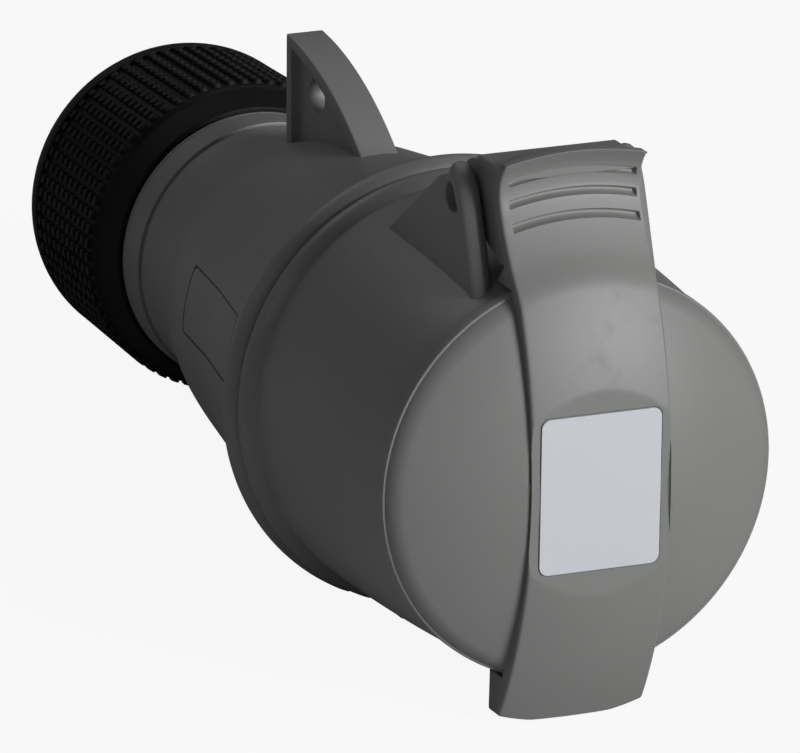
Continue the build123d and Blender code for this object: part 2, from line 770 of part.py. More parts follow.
def make_nut():
    """Gland nut with a plain front band, a fluted grip and a rounded nose."""
    bore = spigot_radius + thread_play
    nut = turned([(bore, nut_front), (nut_face_radius, nut_front), (nut_band_radius, nut_band_y),
                  (knurl_front_radius, knurl_front), (knurl_back_radius, knurl_back),
                  (knurl_back_radius, nut_rim_y), (nut_nose_radius, nut_nose_y),
                  (nut_nose_radius - 1.6, nut_back), (nut_mouth_radius + 2, nut_back),
                  (nut_mouth_radius, nut_back - 2), (nut_mouth_radius, nut_wall_y),
                  (thrust_outer + slip, nut_wall_y), (thrust_outer + slip, spigot_back + 3),
                  (bore, spigot_back + 1)])
    crest = (knurl_front_radius + knurl_back_radius) / 2
    groove = make_face(Polyline((crest - flute_depth, 0), (crest + 1.2, flute_half_width * 2.6),
                                (crest + 1.2, -flute_half_width * 2.6), close=True))
    flute_start = knurl_front + 0.6
    flute = Pos(0, flute_start, 0) * extrude(Plane.XZ * groove, knurl_back - flute_start, dir=(0, 1, 0))
    step = 360 / nut_flutes
    return nut - [turn(flute, 270 + index * step) for index in range(nut_flutes)]


def make_thrust_ring():
    """Smooth ring that the nut pushes along without turning the claw."""
    back = nut_wall_y - slip
    front = back - thrust_thickness
    return turned([(thrust_inner + 1.6, front), (thrust_outer, front), (thrust_outer, back),
                   (thrust_inner, back), (thrust_inner, front + 1.4)])


def make_claw():
    """Ring of tapered fingers that closes on the cable when the nut is tightened."""
    root_y = throat_y + claw_ring_length
    claw = turned([(claw_inner, throat_y), (gland_bore - snug, throat_y), (gland_bore - snug, root_y),
                   (claw_finger_root, root_y + 1.5), (claw_finger_tip, claw_back), (claw_inner, claw_back)])
    step = 360 / claw_fingers
    for index in range(claw_fingers):
        slot = block(claw_inner - 2, gland_bore + 2, root_y, claw_back + 1, -claw_slot / 2, claw_slot / 2)
        claw -= turn(slot, (index + 0.5) * step)
    return claw


def make_grommet():
    """Rubber sleeve that seals round the cable inside the claw."""
    return turned([(grommet_bore + 1.0, grommet_front), (grommet_outer, grommet_front),
                   (grommet_outer, grommet_back), (grommet_bore + 1.0, grommet_back),
                   (grommet_bore, grommet_back - 2), (grommet_bore, grommet_front + 2)])


# Rest pose: the coupler lies on the back edge of its tail and the rear rim of its nut.

def rest_location(shapes):
    """Placement that tips the coupler onto those two edges and centres it over the origin."""
    pitch = degrees(atan2(tail_foot - knurl_back_radius, nut_rim_y - tail_back))
    tipped = Compound(children=[copy(shape).rotate(Axis.X, -pitch) for shape in shapes]).bounding_box()
    middle = tipped.center()
    return Location((-middle.X, -middle.Y, -tipped.min.Z)) * Location((0, 0, 0), (-pitch, 0, 0))


def build_pieces():
    """Every node of the coupler in the modelling frame."""
    pieces = {
        "front_housing": make_front_housing(),
        "rear_housing": make_rear_housing(),
        "housing_seal": make_housing_seal(),
        "hinged_lid": make_lid(),
        "lid_gasket": make_gasket(),
        "label_plate": make_label(),
        "hinge_pin": make_hinge_pin(),
        "lid_spring": make_lid_spring(),
        "contact_face": make_face_plate(),
        "contact_carrier": make_carrier(),
        "terminal_block": make_terminal_block(),
        "retaining_plate": make_retaining_plate(),
        "locking_latch": make_latch(),
        "latch_spring": make_latch_spring(),
        "gland_nut": make_nut(),
        "thrust_ring": make_thrust_ring(),
        "clamping_claw": make_claw(),
        "cable_grommet": make_grommet(),
    }
    for name, pin, angle in contact_places:
        pieces[name] = make_contact(pin, angle)
    pieces["contact_clips"] = Compound([make_clip(pin, angle) for name, pin, angle in contact_places])
    screws = [make_terminal_screw(pin, angle) for name, pin, angle in contact_places]
    pieces["terminal_screws"] = Compound(screws)
    pieces["plate_screws"] = Compound([make_plate_screw(angle) for angle in plate_screw_angles])
    return pieces


pieces = build_pieces()
resting = rest_location(list(pieces.values()))
os.makedirs("parts", exist_ok=True)
for name, piece in pieces.items():
    export_step(resting * piece, f"parts/{name}.step")
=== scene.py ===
import json
from math import asin, atan2, cos, pi, radians, sin, sqrt

import bmesh
import bpy
import numpy as np
from mathutils import Matrix, Vector
from mathutils.geometry import tessellate_polygon


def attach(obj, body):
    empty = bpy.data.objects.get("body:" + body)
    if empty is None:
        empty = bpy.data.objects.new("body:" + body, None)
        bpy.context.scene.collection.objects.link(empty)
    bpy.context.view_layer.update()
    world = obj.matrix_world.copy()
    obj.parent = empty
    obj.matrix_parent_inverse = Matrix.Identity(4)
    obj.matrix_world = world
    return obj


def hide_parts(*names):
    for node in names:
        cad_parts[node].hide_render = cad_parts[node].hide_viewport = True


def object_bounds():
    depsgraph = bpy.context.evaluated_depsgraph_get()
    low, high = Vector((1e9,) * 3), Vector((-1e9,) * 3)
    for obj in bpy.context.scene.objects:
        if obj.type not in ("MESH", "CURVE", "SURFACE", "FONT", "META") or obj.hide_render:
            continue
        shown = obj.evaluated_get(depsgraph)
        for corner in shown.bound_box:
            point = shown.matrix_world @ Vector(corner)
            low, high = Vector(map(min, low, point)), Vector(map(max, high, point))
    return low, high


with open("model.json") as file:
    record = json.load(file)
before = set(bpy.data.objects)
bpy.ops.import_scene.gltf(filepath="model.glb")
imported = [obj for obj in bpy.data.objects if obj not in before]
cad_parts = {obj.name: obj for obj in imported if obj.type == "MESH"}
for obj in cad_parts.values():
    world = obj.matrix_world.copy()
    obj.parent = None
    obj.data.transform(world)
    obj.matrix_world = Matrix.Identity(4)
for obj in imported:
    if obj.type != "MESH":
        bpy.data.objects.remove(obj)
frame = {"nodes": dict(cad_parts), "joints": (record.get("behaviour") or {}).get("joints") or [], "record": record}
nodes = frame["nodes"]
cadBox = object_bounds()

# Everything is worked out in millimetres in the coupler's own axes: y along it from the centre of
# the lid's rim towards the cable, z towards the hinge. The nut's joint gives where that lies.
nutJoint = next(joint for joint in frame["joints"] if joint["name"] == "nut_turn")
nutWall = 190.0
across = np.array([1.0, 0.0, 0.0])
along = np.array(nutJoint["axis"]) / np.linalg.norm(nutJoint["axis"])
basis = np.array([across, along, np.cross(across, along)])
rimCentre = np.array(nutJoint["pos_m"]) - along * nutWall / 1000


# Points in the coupler's axes and millimetres, turned and moved to the frame, in metres.
def toFrame(points):
    return rimCentre + np.asarray(points, float) / 1000 @ basis


# Camera and light

cameraFit = {"turn": 23.762, "tilt": 17.778, "roll": -0.878, "side": -33.341, "lift": 18.267,
             "distance": 2000.0, "focal": 10723.933, "width": 800, "sensor": 36}


# Camera fitted to the photograph: the directions come from the turn and tilt, the roll turns them.
def makeCamera(fit):
    turn, tilt, roll = (radians(fit[key]) for key in ("turn", "tilt", "roll"))
    right = np.array([cos(turn), -sin(turn), 0])
    up = np.array([sin(turn) * sin(tilt), cos(turn) * sin(tilt), cos(tilt)])
    back = np.array([-sin(turn) * cos(tilt), -cos(turn) * cos(tilt), sin(tilt)])
    spot = toFrame(right * fit["side"] + up * fit["lift"] + back * fit["distance"])
    sideways = (cos(roll) * right - sin(roll) * up) @ basis
    upright = (sin(roll) * right + cos(roll) * up) @ basis
    matrix = Matrix.Identity(4)
    for column, vector in enumerate((sideways, upright, back @ basis, spot)):
        for row in range(3):
            matrix[row][column] = vector[row]
    data = bpy.data.cameras.new("camera")
    data.sensor_width = fit["sensor"]
    data.lens = fit["focal"] / fit["width"] * fit["sensor"]
    camera = bpy.data.objects.new("camera", data)
    camera.matrix_world = matrix
    bpy.context.scene.collection.objects.link(camera)
    bpy.context.scene.camera = camera


makeCamera(cameraFit)
lamps = {
    "key": {"at": (0.72, -1.35, 0.66), "size": 0.7, "power": 23.0},
    "fill": {"at": (-1.1, -0.7, 0.8), "size": 0.9, "power": 0.5},
    "rim": {"at": (-0.3, 1.1, 1.2), "size": 0.7, "power": 2.2},
}


# Round lamp at a place in the frame, turned towards the middle of the part.
def makeLamp(name, at, size, power):
    data = bpy.data.lights.new(name, "AREA")
    data.shape, data.size, data.energy = "DISK", size, power
    lamp = bpy.data.objects.new(name, data)
    middle = Vector((np.array(cadBox[0]) + np.array(cadBox[1])) / 2)
    lamp.location = at
    lamp.rotation_euler = (Vector(at) - middle).to_track_quat("Z", "Y").to_euler()
    bpy.context.scene.collection.objects.link(lamp)


for lampName, values in lamps.items():
    makeLamp(lampName, **values)
print("camera and lamps are in place")


# Shaders

# One output of a node, so that shader maths reads as plain expressions.
class Wire:
    def __init__(self, shader, socket):
        self.shader, self.socket = shader, socket

    def __add__(self, other):
        return self.shader.maths("ADD", self, other)

    __radd__ = __add__

    def __mul__(self, other):
        return self.shader.maths("MULTIPLY", self, other)

    __rmul__ = __mul__

    def __sub__(self, other):
        return self.shader.maths("SUBTRACT", self, other)

    def __rsub__(self, other):
        return self.shader.maths("SUBTRACT", other, self)

    def top(self, other):
        return self.shader.maths("MAXIMUM", self, other)


# The nodes of a material or of the world, with one method for each kind of step.
class Shader:
    def __init__(self, owner):
        owner.use_nodes = True
        self.owner, self.tree = owner, owner.node_tree
        self.tree.nodes.clear()

    # A node of any type: its settings first, then the values or links of its sockets.
    def node(self, kind, settings=None, sockets=None, output=0):
        made = self.tree.nodes.new("ShaderNode" + kind)
        for key, value in (settings or {}).items():
            setattr(made, key, value)
        for key, value in (sockets or {}).items():
            if isinstance(value, Wire):
                self.tree.links.new(value.socket, made.inputs[key])
            else:
                made.inputs[key].default_value = value
        return Wire(self, made.outputs[output]) if len(made.outputs) else made

    def maths(self, operation, first, second):
        return self.node("Math", {"operation": operation}, {0: first, 1: second})

    def place(self, offset=(0, 0, 0), scale=(1, 1, 1)):
        texture = self.node("TexCoord", output="Object")
        return self.node("Mapping", None, {"Vector": texture, "Location": offset, "Scale": scale})

    def noise(self, scale, detail=3.0, roughness=0.5, where=None):
        where = where or self.place()
        return self.node("TexNoise", None, {"Vector": where, "Scale": scale, "Detail": detail,
                                            "Roughness": roughness}, output="Fac")

    def ramp(self, value, low, high):
        return self.node("MapRange", {"interpolation_type": "SMOOTHSTEP"},
                         {"Value": value, "From Min": low, "From Max": high}, output="Result")

    def tint(self, mask, plain, other):
        return self.node("Mix", {"data_type": "RGBA"},
                         {0: mask, 6: self.colour(plain), 7: self.colour(other)}, output=2)

    def colour(self, value):
        return value if isinstance(value, Wire) else (*value, 1)

    def bump(self, height, strength, distance):
        return self.node("Bump", None, {"Height": height, "Strength": strength, "Distance": distance})

    # 1 for rays that show the surroundings themselves, 0 for those that light or mirror them.
    def seenRays(self):
        return self.node("LightPath", output="Is Camera Ray").top(
            self.node("LightPath", output="Is Transmission Ray"))

    def surface(self, **sockets):
        named = {key.replace("_", " "): value for key, value in sockets.items()}
        body = self.node("BsdfPrincipled", None, named)
        self.node("OutputMaterial", None, {"Surface": body})
        return self.owner


def newMaterial(name):
    return Shader(bpy.data.materials.new(name))


# Moulded plastic: a fine spark-eroded grain, faint flow marks in the colour and scattered dull rubs.
def mouldedPlastic(name, colour, roughness, specular, grain):
    shader = newMaterial(name)
    drift = shader.noise(28, 2.0)
    rubs = shader.ramp(shader.noise(160, 5.0, 0.65), 0.52, 0.78)
    fine = shader.noise(2600, 2.0, 0.6)
    darker = tuple(part * 0.9 for part in colour)
    base = shader.tint(drift, darker, tuple(part * 1.06 for part in colour))
    return shader.surface(Base_Color=base, Roughness=roughness + rubs * 0.08 + fine * 0.05,
                          Specular_IOR_Level=specular, Normal=shader.bump(fine, grain, 0.00005))


greyPlastic = mouldedPlastic("greyPlastic", (0.2, 0.205, 0.198), 0.42, 0.4, 0.25)
blackPlastic = mouldedPlastic("blackPlastic", (0.0065, 0.0065, 0.007), 0.55, 0.16, 0.3)
# Near-black plastic for the parts deep inside, in place of their own finish: painted shade for the dark inside of
# the coupler.
innerShadePlastic = mouldedPlastic("innerShadePlastic", (0.02, 0.02, 0.021), 0.45, 0.3, 0.2)


# Smooth printed film, a little uneven in colour and gloss.
def filmFinish(name, colour):
    shader = newMaterial(name)
    drift = shader.noise(90, 3.0)
    base = shader.tint(drift, colour, tuple(part * 0.96 for part in colour))
    return shader.surface(Base_Color=base, Roughness=0.34 + drift * 0.06, Specular_IOR_Level=0.4)


# Metal with fine streaks along the part's y.
def metalFinish(name, colour, roughness):
    shader = newMaterial(name)
    streaks = shader.noise(900, 4.0, 0.6, shader.place(scale=(1, 0.15, 1)))
    base = shader.tint(streaks, colour, tuple(part * 0.82 for part in colour))
    return shader.surface(Base_Color=base, Metallic=1.0, Roughness=roughness + streaks * 0.12)


# Dull rubber with a fine grain.
def rubberFinish(name, colour):
    shader = newMaterial(name)
    fine = shader.noise(1800, 3.0, 0.6)
    base = shader.tint(fine, colour, tuple(part * 1.4 for part in colour))
    return shader.surface(Base_Color=base, Roughness=0.72 + fine * 0.1, Specular_IOR_Level=0.3,
                          Normal=shader.bump(fine, 0.2, 0.00005))


labelFilm = filmFinish("labelFilm", (0.58, 0.6, 0.64))
blackRubber = rubberFinish("blackRubber", (0.012, 0.012, 0.012))
brightSteel = metalFinish("brightSteel", (0.62, 0.62, 0.62), 0.22)
contactBrass = metalFinish("contactBrass", (0.75, 0.58, 0.3), 0.28)

finishes = {"grey_plastic": greyPlastic, "black_plastic": blackPlastic, "label_film": labelFilm,
            "black_rubber": blackRubber, "bright_steel": brightSteel, "contact_brass": contactBrass}
# These inner parts get the near-black painted-shade plastic instead of their listed finish.
innerNodes = ("contact_face", "contact_carrier", "terminal_block", "retaining_plate", "thrust_ring",
              "clamping_claw")
slots = {part["node"]: part["material_slot"] for part in frame["record"]["subparts"]}
for nodeName, node in nodes.items():
    node.data.materials.clear()
    node.data.materials.append(innerShadePlastic if nodeName in innerNodes else finishes[slots[nodeName]])
print("finishes are on the frame's own pieces")


# Floor and world

stage = {"reach": 4.0, "dust": 0.55, "white": 0.92, "worldLevel": 0.1}


# Pale floor and white surroundings. Both are bright where the camera sees them and much darker as a
# source of light or in a reflection, so that only the lamps light the part.
def makeStage(values):
    shader = newMaterial("floor")
    dust = shader.node("BsdfDiffuse", None, {"Color": (*[values["dust"]] * 3, 1)})
    glow = shader.node("Emission", None, {"Color": (1, 1, 1, 1), "Strength": 1.0})
    mixed = shader.node("MixShader", None, {0: shader.seenRays() * values["white"], 1: dust, 2: glow})
    shader.node("OutputMaterial", None, {"Surface": mixed})
    mesh = bpy.data.meshes.new("floor")
    reach = values["reach"]
    mesh.from_pydata([(-reach, -reach, 0), (reach, -reach, 0), (reach, reach, 0), (-reach, reach, 0)],
                     [], [(0, 1, 2, 3)])
    floor = bpy.data.objects.new("floor", mesh)
    floor.data.materials.append(shader.owner)
    bpy.context.scene.collection.objects.link(floor)
    world = Shader(bpy.data.worlds.new("studio"))
    level = world.node("MapRange", None, {"Value": world.seenRays(), "To Min": values["worldLevel"]},
                       output="Result")
    sky = world.node("Background", None, {"Color": (1, 1, 1, 1), "Strength": level})
    world.node("OutputWorld", None, {"Surface": sky})
    bpy.context.scene.world = world.owner


makeStage(stage)
bpy.context.scene.view_settings.view_transform = "Standard"


# Mesh helpers

# Closed outline whose corners are replaced by quadratic curves: (1-t)^2 of the point a radius before
# the corner, 2t(1-t) of the corner and t^2 of the point a radius after it. A radius of 0 keeps the point.
def softCorners(corners, radii, steps=5):
    corners = np.array(corners, float)
    radii = np.broadcast_to(np.asarray(radii, float), len(corners))[:, None]
    before = np.roll(corners, 1, 0) - corners
    after = np.roll(corners, -1, 0) - corners
    lengthBefore = np.linalg.norm(before, axis=1, keepdims=True) + 1e-9
    lengthAfter = np.linalg.norm(after, axis=1, keepdims=True) + 1e-9
    start = corners + before / lengthBefore * np.minimum(radii, 0.48 * lengthBefore)
    end = corners + after / lengthAfter * np.minimum(radii, 0.48 * lengthAfter)
    t = np.linspace(0, 1, steps)[None, :, None]
    curve = (1 - t) ** 2 * start[:, None] + 2 * t * (1 - t) * corners[:, None] + t ** 2 * end[:, None]
    points = curve.reshape(-1, corners.shape[1])
    return points[np.linalg.norm(points - np.roll(points, 1, 0), axis=1) > 1e-6]


# Points added along a closed outline until none lies farther than gap from the next.
def refined(outline, gap):
    ends = np.roll(outline, -1, 0)
    pieces = []
    for start, end in zip(outline, ends):
        count = max(1, int(np.ceil(np.linalg.norm(end - start) / gap)))
        pieces.append(start + (end - start) * np.arange(count)[:, None] / count)
    return np.concatenate(pieces)


# Unit normals of a closed outline in its own plane, pointing into it.
def inwardNormals(outline):
    tangent = np.roll(outline, -1, 0) - np.roll(outline, 1, 0)
    tangent /= np.linalg.norm(tangent, axis=1, keepdims=True)
    area = np.sum(outline[:, 0] * np.roll(outline[:, 1], -1) - np.roll(outline[:, 0], -1) * outline[:, 1])
    return np.stack([-tangent[:, 1], tangent[:, 0]], 1) * np.sign(area)


# Surface of revolution about the coupler's axis: x = r cos a, z = r sin a, for each profile point (r, y).
def spun(profile, angles):
    profile = np.asarray(profile, float)
    radius, y = profile[:, :1], profile[:, 1:]
    return np.stack([radius * np.cos(angles), y + 0 * angles, radius * np.sin(angles)], -1)


# Round bar along a path in a plane of constant x: circle points centre + r (cos t, sin t of the path's
# normal), with the radius run down to nothing as a half circle at both ends.
def tube(path, x, radius, sides=24, capRows=6):
    path = np.asarray(path, float)
    tangent = np.gradient(path, axis=0)
    tangent /= np.linalg.norm(tangent, axis=1, keepdims=True)
    rise = np.linspace(pi / 2, 0, capRows)[:-1]
    centres = np.concatenate([path[0] - np.outer(np.sin(rise), tangent[0]) * radius, path,
                              path[-1] + np.outer(np.sin(rise[::-1]), tangent[-1]) * radius])
    normal = np.concatenate([np.repeat(tangent[:1], len(rise), 0), tangent,
                             np.repeat(tangent[-1:], len(rise), 0)])
    size = np.concatenate([np.cos(rise), np.ones(len(path)), np.cos(rise[::-1])]) * radius
    turn = np.linspace(0, 2 * pi, sides + 1)[:-1]
    across = size[:, None] * np.cos(turn)
    outward = size[:, None] * np.sin(turn)
    return (np.stack([x + across, centres[:, :1] - normal[:, 1:] * outward,
                      centres[:, 1:] + normal[:, :1] * outward], -1), False, True)


# Quads of a grid of points, joined round where an edge closes on itself.
def gridFaces(rows, columns, closeRows, closeColumns):
    index = np.arange(rows * columns).reshape(rows, columns)
    if closeRows:
        index = np.vstack([index, index[:1]])
    if closeColumns:
        index = np.hstack([index, index[:, :1]])
    return np.stack([index[:-1, :-1], index[1:, :-1], index[1:, 1:], index[:-1, 1:]], -1).reshape(-1, 4)


# Triangles that close the first and the last row of a grid, worked out in side view.
def endFaces(grid, count):
    rows, columns = grid.shape[:2]
    faces = []
    for row in (0, rows - 1):
        if np.ptp(grid[row], axis=0).max() > 0.01:
            loop = [Vector((0, y, z)) for y, z in grid[row, :, 1:]]
            first = count + row * columns
            faces += [[first + index for index in triangle] for triangle in tessellate_polygon([loop])]
    return faces


# One object from grids given as (points, closeRows, closeColumns): merged, turned outwards and smooth.
def makePiece(name, grids, material, body, replaced=(), sharp=35.0):
    points, faces, count = [], [], 0
    for grid, closeRows, closeColumns in grids:
        rows, columns = grid.shape[:2]
        points.append(grid.reshape(-1, 3))
        faces += (gridFaces(rows, columns, closeRows, closeColumns) + count).tolist()
        if not closeRows:
            faces += endFaces(grid, count)
        count += rows * columns
    mesh = bpy.data.meshes.new(name)
    mesh.from_pydata(toFrame(np.concatenate(points)).tolist(), [], faces)
    work = bmesh.new()
    work.from_mesh(mesh)
    bmesh.ops.remove_doubles(work, verts=work.verts, dist=1e-7)
    bmesh.ops.dissolve_degenerate(work, edges=work.edges, dist=1e-7)
    bmesh.ops.recalc_face_normals(work, faces=work.faces)
    for face in work.faces:
        face.smooth = True
    work.to_mesh(mesh)
    work.free()
    piece = bpy.data.objects.new(name, mesh)
    bpy.context.scene.collection.objects.link(piece)
    mesh.set_sharp_from_angle(angle=radians(sharp))
    weighted = piece.modifiers.new("evenNormals", "WEIGHTED_NORMAL")
    weighted.keep_sharp = True
    mesh.materials.append(material)
    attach(piece, body)
    if replaced:
        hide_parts(*replaced)
    return piece


# Smooth curve through knots: cubic Hermite spans whose slopes are the mean of the runs on both sides.
def smoothThrough(x, knots, values, firstSlope=None, lastSlope=None):
    knots, values = np.array(knots, float), np.array(values, float)
    runs = np.diff(values) / np.diff(knots)
    slopes = np.concatenate([[runs[0]], (runs[1:] + runs[:-1]) / 2, [runs[-1]]])
    slopes[0] = runs[0] if firstSlope is None else firstSlope
    slopes[-1] = runs[-1] if lastSlope is None else lastSlope
    span = np.clip(np.searchsorted(knots, x, side="right") - 1, 0, len(knots) - 2)
    gap = knots[span + 1] - knots[span]
    t = np.clip((x - knots[span]) / gap, 0, 1)
    return ((1 + 2 * t) * (1 - t) ** 2 * values[span] + t * (1 - t) ** 2 * gap * slopes[span]
            + t * t * (3 - 2 * t) * values[span + 1] + t * t * (t - 1) * gap * slopes[span + 1])


# Smooth step from 0 below low to 1 above high: t^2 (3 - 2t).
def easeStep(value, low, high):
    t = np.clip((value - low) / (high - low), 0, 1)
    return t * t * (3 - 2 * t)


# Signed distance to a rectangle with rounded corners, negative inside.
def roundedBox(x, z, half, low, high, corner):
    outX = np.abs(x) - half + corner
    outZ = np.abs(z - (low + high) / 2) - (high - low) / 2 + corner
    outside = np.hypot(np.maximum(outX, 0), np.maximum(outZ, 0))
    return outside + np.minimum(np.maximum(outX, outZ), 0) - corner


# Arc of a circle as points (first, second coordinate) between two angles in degrees.
def arc(centre, radius, start, end, count=24):
    angle = np.radians(np.linspace(start, end, count))
    return np.stack([centre[0] + radius * np.cos(angle), centre[1] + radius * np.sin(angle)], 1)


# Arc through three points, as points in their plane: the circle's centre lies where the two bisectors meet.
def arcThrough(first, middle, last, count=40):
    first, middle, last = (np.array(point, float) for point in (first, middle, last))
    rows = 2 * np.array([middle - first, last - first])
    centre = np.linalg.solve(rows, [middle @ middle - first @ first, last @ last - first @ first])
    angles = np.unwrap([atan2(*(point - centre)[::-1]) for point in (first, middle, last)])
    spread = np.linspace(angles[0], angles[2], count)
    return centre + np.linalg.norm(first - centre) * np.stack([np.cos(spread), np.sin(spread)], 1)


# Flat piece across x from a closed side-view outline (y, z): its faces are the outline moved in by
# edge (1 - cos a) as x runs its last edge sin a, and each end is filled flat.
def slabGrid(outline, low, high, edge, steps=5):
    outline = np.asarray(outline, float)
    inward = inwardNormals(outline)
    angle = np.linspace(pi / 2, 0, steps)
    offset = np.concatenate([low + edge - edge * np.sin(angle), (high - edge + edge * np.sin(angle))[::-1]])
    shrink = edge * (1 - np.cos(np.concatenate([angle, angle[::-1]])))
    flat = outline[None] + shrink[:, None, None] * inward[None]
    x = np.broadcast_to(offset[:, None], flat.shape[:2])
    return np.stack([x, flat[..., 0], flat[..., 1]], -1), False, True


# Points of a closed outline (y, z) seen from a centre at the given angles.
def seenFrom(outline, centre, angles):
    dense = refined(np.asarray(outline, float), 0.15)
    offset = dense - centre
    bearing = np.mod(np.arctan2(offset[:, 1], offset[:, 0]), 2 * pi)
    order = np.argsort(bearing)
    bearing, dense = bearing[order], dense[order]
    return np.stack([np.interp(angles, bearing, dense[:, axis], period=2 * pi) for axis in (0, 1)], 1)


# Pierced plate across x, as rings from its outline inwards and through the hole: each step gives a ring
# of points (y, z) and its x. The rings close into a tube, so that the plate has no open edge.
def piercedPlate(steps):
    return np.stack([np.column_stack([np.full(len(ring), x), ring]) for ring, x in steps]), True, True


# Gland nut

nut = {"columns": 68, "rows": 11, "depth": 0.85, "front": 164.4, "back": 194.0, "frontRadius": 32.2,
       "backRadius": 31.5, "rimY": 195.6, "nose": ((30.8, 198.6), (29.0, 201.6)), "endY": 203.0,
       "end": (27.4, 16.5), "mouth": (14.5, 201.0, 190.0), "seat": (21.9, 181.0),
       "thread": (25.0, 179.0, 158.0), "skirt": ((28.4, 158.0), (30.6, 163.6), 164.2)}


# Trapezoid wave of a whole number of teeth: sample positions within each tooth and heights from 0 to 1.
def teeth(count):
    within = np.array([0.0, 0.16, 0.24, 0.5, 0.76, 0.84])
    height = np.array([0.0, 0.0, 1.0, 1.0, 1.0, 0.0])
    return (np.arange(count)[:, None] + within).ravel() / count, np.tile(height, count)


# The nut's skin: radius(y) less the depth where either the column's or the row's wave is low.
def makeNut(values):
    turnShare, columnHeight = teeth(values["columns"])
    angles = -pi / 2 + turnShare * 2 * pi
    rowShare, rowHeight = teeth(values["rows"])
    rowShare, rowHeight = np.append(rowShare, 1.0), np.append(rowHeight, 0.0)
    y = values["front"] + rowShare * (values["back"] - values["front"])
    radius = values["frontRadius"] + rowShare * (values["backRadius"] - values["frontRadius"])
    drop = values["depth"] * (1 - rowHeight[:, None] * columnHeight[None, :])
    knurl = spun(np.stack([radius, y], 1), angles)
    ratio = (radius[:, None] - drop) / radius[:, None]
    knurl[..., 0] *= ratio
    knurl[..., 2] *= ratio
    floorFront, floorBack = values["frontRadius"] - values["depth"], values["backRadius"] - values["depth"]
    mouth, mouthBack, mouthFront = values["mouth"]
    seat, seatFront = values["seat"]
    thread, threadBack, threadFront = values["thread"]
    *skirt, skirtBack = values["skirt"]
    shell = softCorners([(floorBack, values["back"]), (values["backRadius"], values["back"] + 0.1),
                         (values["backRadius"], values["rimY"]), *values["nose"],
                         *[(radius, values["endY"]) for radius in values["end"]],
                         (mouth, mouthBack), (mouth, mouthFront), (seat, mouthFront), (seat, seatFront),
                         (thread, threadBack), (thread, threadFront), *skirt, (floorFront, skirtBack),
                         (floorFront, values["front"])],
                        [0, 0.2, 1.2, 1.5, 0.8, 0.6, 0.4, 0.6, 0.2, 0.2, 0.3, 0.2, 0.4, 0.4, 0.5, 0.1, 0])
    start = int(np.argmin(np.linalg.norm(shell - [floorBack, values["back"]], axis=1)))
    skin = np.concatenate([knurl, spun(np.roll(shell, -start, 0), angles)])
    return makePiece("knurled_nut", [(skin, True, True)], blackPlastic, "gland_nut",
                     ("gland_nut",), sharp=50.0)


makeNut(nut)
print("the nut is made")


# Hinged lid

lid = {"rim": 39.7, "crown": 80.0, "crownFront": -11.6, "shoulder": 6.0, "wall": 2.4,
       "gasket": (35.45, 37.35, 1.6), "columns": 192, "fineFrom": 33.0,
       "strapFront": -12.6, "strapCrown": 92.0, "labelPlane": -10.4, "label": (12.35, -14.95, 15.75, 1.95),
       "recess": 0.42, "apex": -9.9, "tailReach": 48.1, "tailFoot": 47.3, "tailBack": 5.7, "edge": 0.55,
       "gripKnots": (38.0, 44.6, 50.4, 55.6, 59.4, 62.7), "gripFaces": (0.2, 3.5, 5.6, 5.2, 3.0),
       "gripSlopes": (0.45, -0.75), "gripWall": 3.0, "lipBack": 5.6, "root": (40.4, 6.6),
       "grooves": (58.2, 54.3, 50.3), "grooveHalf": 0.75, "grooveDepth": 1.0, "grooveSpan": (-12.4, 13.2),
       "widths": ((-47.3, 14.9), (0, 14.2), (38, 14.2), (50.4, 14.5), (70, 14.5))}


# Distance along the axis of the dome's skin at a radius: sphere of the crown, then the shoulder's torus.
def domeSkin(radius, values, inset=0.0):
    crown, shoulder = values["crown"] - inset, values["shoulder"] - inset
    centreY = values["crownFront"] + values["crown"]
    shoulderX = values["rim"] - values["shoulder"]
    shoulderY = centreY - sqrt((values["crown"] - values["shoulder"]) ** 2 - shoulderX ** 2)
    seam = crown * shoulderX / (values["crown"] - values["shoulder"])
    onCrown = centreY - np.sqrt(np.maximum(crown ** 2 - radius ** 2, 0))
    onShoulder = shoulderY - np.sqrt(np.maximum(shoulder ** 2 - (radius - shoulderX) ** 2, 0))
    return np.where(radius <= seam, onCrown, onShoulder)


# Front face of the strap at a radius: a sphere's crown, and the same with the swept-back grip after it.
def strapFace(radius, values):
    knots, curve = values["gripKnots"], values["strapCrown"]
    crown = values["strapFront"] + curve - np.sqrt(curve ** 2 - radius ** 2)
    start = values["strapFront"] + curve - sqrt(curve ** 2 - knots[0] ** 2)
    grip = smoothThrough(radius, knots, (start, *values["gripFaces"]), *values["gripSlopes"])
    return crown, np.where(radius <= knots[0], crown, grip)


